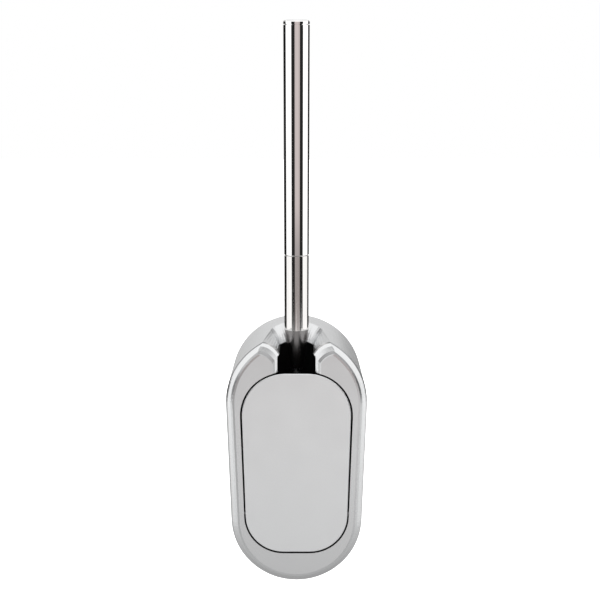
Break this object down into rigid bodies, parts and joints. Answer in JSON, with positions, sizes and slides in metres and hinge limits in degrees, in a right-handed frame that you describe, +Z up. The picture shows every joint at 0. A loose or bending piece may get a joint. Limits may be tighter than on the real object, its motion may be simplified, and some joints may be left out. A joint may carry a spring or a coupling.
{
  "type": "toilet brush holder",
  "caption": "Wall-hung pill-shaped brush holder with a front panel and bin that tilt out, and a chrome-handled brush that lifts from the bin.",
  "frame": {"origin": "on the back face of the wall bracket, where it lies on the wall, in the middle of the holder's width", "axes": "+Z up along the handle, -Y out of the wall towards the user, +X to the right seen from the front"},
  "size_m": [0.1116, 0.088, 0.4464],
  "materials": {
    "satin_silver": "satin silver lacquer on a die-cast housing",
    "panel_silver": "pale satin silver",
    "polished_chrome": "mirror polished",
    "brushed_steel": "polished with a fine lengthwise grain",
    "zinc_steel": "bright zinc plated",
    "black_plastic": "moulded black plastic with a light grain",
    "rubber": "soft black rubber",
    "acetal": "natural acetal",
    "bristle_nylon": "white nylon bristles"
  },
  "bodies": {
    "housing": {"housing_shell": "satin_silver", "rear_cover": "black_plastic", "wall_bracket": "zinc_steel", "rear_cover_screw_1": "zinc_steel", "rear_cover_screw_2": "zinc_steel", "rear_cover_screw_3": "zinc_steel", "rear_cover_screw_4": "zinc_steel", "lock_screw": "zinc_steel", "hinge_pin_left": "zinc_steel", "hinge_pin_right": "zinc_steel", "open_stop_pad_left": "rubber", "open_stop_pad_right": "rubber", "closed_stop_pad": "rubber", "catch_magnet": "zinc_steel"},
    "bin": {"front_panel": "panel_silver", "bin_cup": "black_plastic", "panel_screw_1": "zinc_steel", "panel_screw_2": "zinc_steel", "panel_screw_3": "zinc_steel", "panel_screw_4": "zinc_steel", "hinge_bush_left": "acetal", "hinge_bush_right": "acetal", "keeper_plate": "zinc_steel", "keeper_rivet": "zinc_steel", "drip_insert": "rubber"},
    "brush": {"handle_grip_tube": "polished_chrome", "handle_end_cap": "polished_chrome", "handle_lower_sleeve": "brushed_steel", "handle_coupling": "zinc_steel", "handle_core_rod": "zinc_steel", "rod_nut": "zinc_steel", "brush_core": "black_plastic", "bristle_block": "bristle_nylon"}
  },
  "joints": [
    {"name": "bin_tilt", "type": "hinge", "parent": "housing", "child": "bin", "pos_m": [0, -0.0805, -0.0585], "axis": [1, 0, 0], "range_deg": [0, 35]},
    {"name": "brush_lift", "type": "slide", "parent": "bin", "child": "brush", "axis": [0, 0, 1], "range_m": [0, 0.07]}
  ]
}
